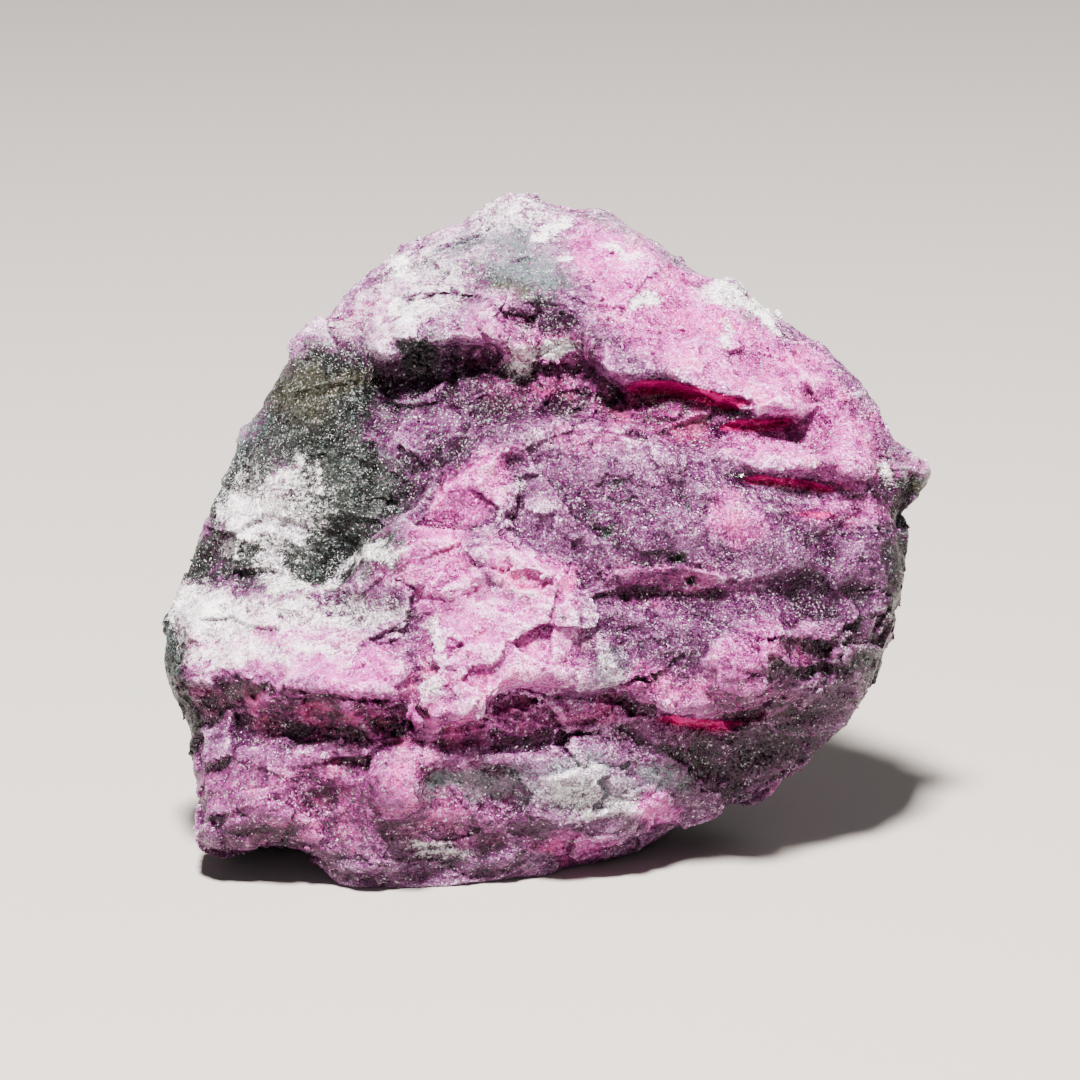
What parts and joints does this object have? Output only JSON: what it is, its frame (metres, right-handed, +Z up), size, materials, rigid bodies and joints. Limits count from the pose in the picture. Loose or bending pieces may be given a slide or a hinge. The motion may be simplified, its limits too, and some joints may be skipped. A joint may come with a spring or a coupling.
{
  "type": "rough ruby specimen",
  "caption": "Rough piece of ruby in dark matrix, a natural stone that stands on one flat fracture face, for display or as a paperweight.",
  "frame": {"origin": "on the resting plane, under the middle of the stone's bounding box", "axes": "+Z up from the resting face, +X to the right along the broad front, +Y away from the broad front, so the front faces -Y"},
  "size_m": [0.0764, 0.0446, 0.0646],
  "materials": {
    "ruby_in_matrix": "rough, granular, glinting fracture faces; pink to purple ruby with black-green and white matrix"
  },
  "bodies": {
    "root": {"raw_ruby": "ruby_in_matrix"}
  },
  "joints": []
}
